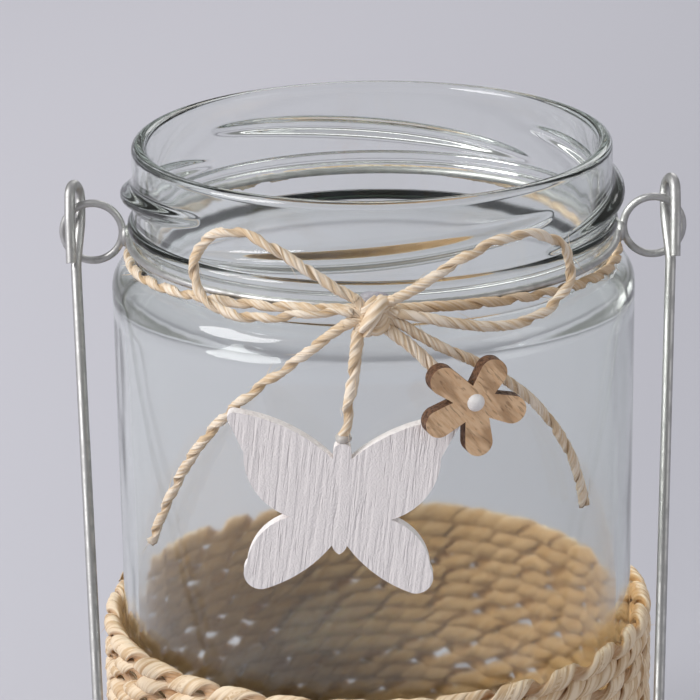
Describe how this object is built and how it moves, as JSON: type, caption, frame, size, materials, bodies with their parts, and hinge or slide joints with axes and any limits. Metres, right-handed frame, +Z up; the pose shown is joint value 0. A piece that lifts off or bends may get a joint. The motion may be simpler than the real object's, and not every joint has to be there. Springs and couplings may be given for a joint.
{
  "type": "mason jar lantern",
  "caption": "Clear glass jar with a wire bail handle, wound rope skirt, twine bow and hanging wooden butterfly and flower, holding a tea light.",
  "frame": {"origin": "middle of the jar's foot, on the surface it stands on", "axes": "+Z up along the jar's axis, +X to the right, the bow and pendants face -Y"},
  "size_m": [0.1058, 0.0994, 0.14],
  "materials": {
    "clear_glass": "clear, smooth",
    "galvanised_wire": "galvanised, satin",
    "straw_rope": "coarse twisted straw fibre",
    "twine": "two-ply straw twine",
    "glue": "clear, glossy",
    "painted_wood": "thin white paint over brushed grain",
    "bare_wood": "bare oak with scorched edges",
    "white_paint": "satin",
    "thin_aluminium": "bright rolled sheet",
    "wax": "waxy",
    "tinned_sheet": "bright",
    "cotton_wick": "braided cotton"
  },
  "bodies": {
    "jar": {"glass_jar": "clear_glass", "neck_wire": "galvanised_wire", "rope_wrap": "straw_rope", "neck_twine": "twine", "bow_knot": "twine", "glue_dot": "glue", "bow_loop_left": "twine", "bow_loop_right": "twine", "bow_tail_left": "twine", "bow_tail_right": "twine"},
    "bail": {"bail_handle": "galvanised_wire"},
    "butterfly_cord": {"butterfly_string": "twine"},
    "butterfly": {"butterfly": "painted_wood", "butterfly_glue": "glue"},
    "flower": {"flower_string": "twine", "flower": "bare_wood", "flower_centre": "white_paint", "flower_glue": "glue"},
    "tealight": {"tealight_cup": "thin_aluminium", "tealight_wax": "wax", "tealight_wick_base": "tinned_sheet", "tealight_wick": "cotton_wick"}
  },
  "joints": [
    {"name": "bail_swing", "type": "hinge", "parent": "jar", "child": "bail", "pos_m": [0, 0, 0.1283], "axis": [-1, 0, 0], "range_deg": [0, 160]},
    {"name": "butterfly_lift", "type": "hinge", "parent": "jar", "child": "butterfly_cord", "pos_m": [-0.0025, -0.0461, 0.1208], "axis": [-1, 0, 0], "range_deg": [0, 50]},
    {"name": "butterfly_sway", "type": "hinge", "parent": "butterfly_cord", "child": "butterfly", "pos_m": [-0.0052, -0.04605, 0.1023], "axis": [0, -1, 0], "range_deg": [-15, 15]},
    {"name": "flower_lift", "type": "hinge", "parent": "butterfly_cord", "child": "flower", "pos_m": [0.0022, -0.0465, 0.1212], "axis": [-1, 0, 0], "range_deg": [0, 50]},
    {"name": "tealight_lift", "type": "slide", "parent": "jar", "child": "tealight", "axis": [0, 0, 1], "range_m": [0, 0.15]}
  ]
}
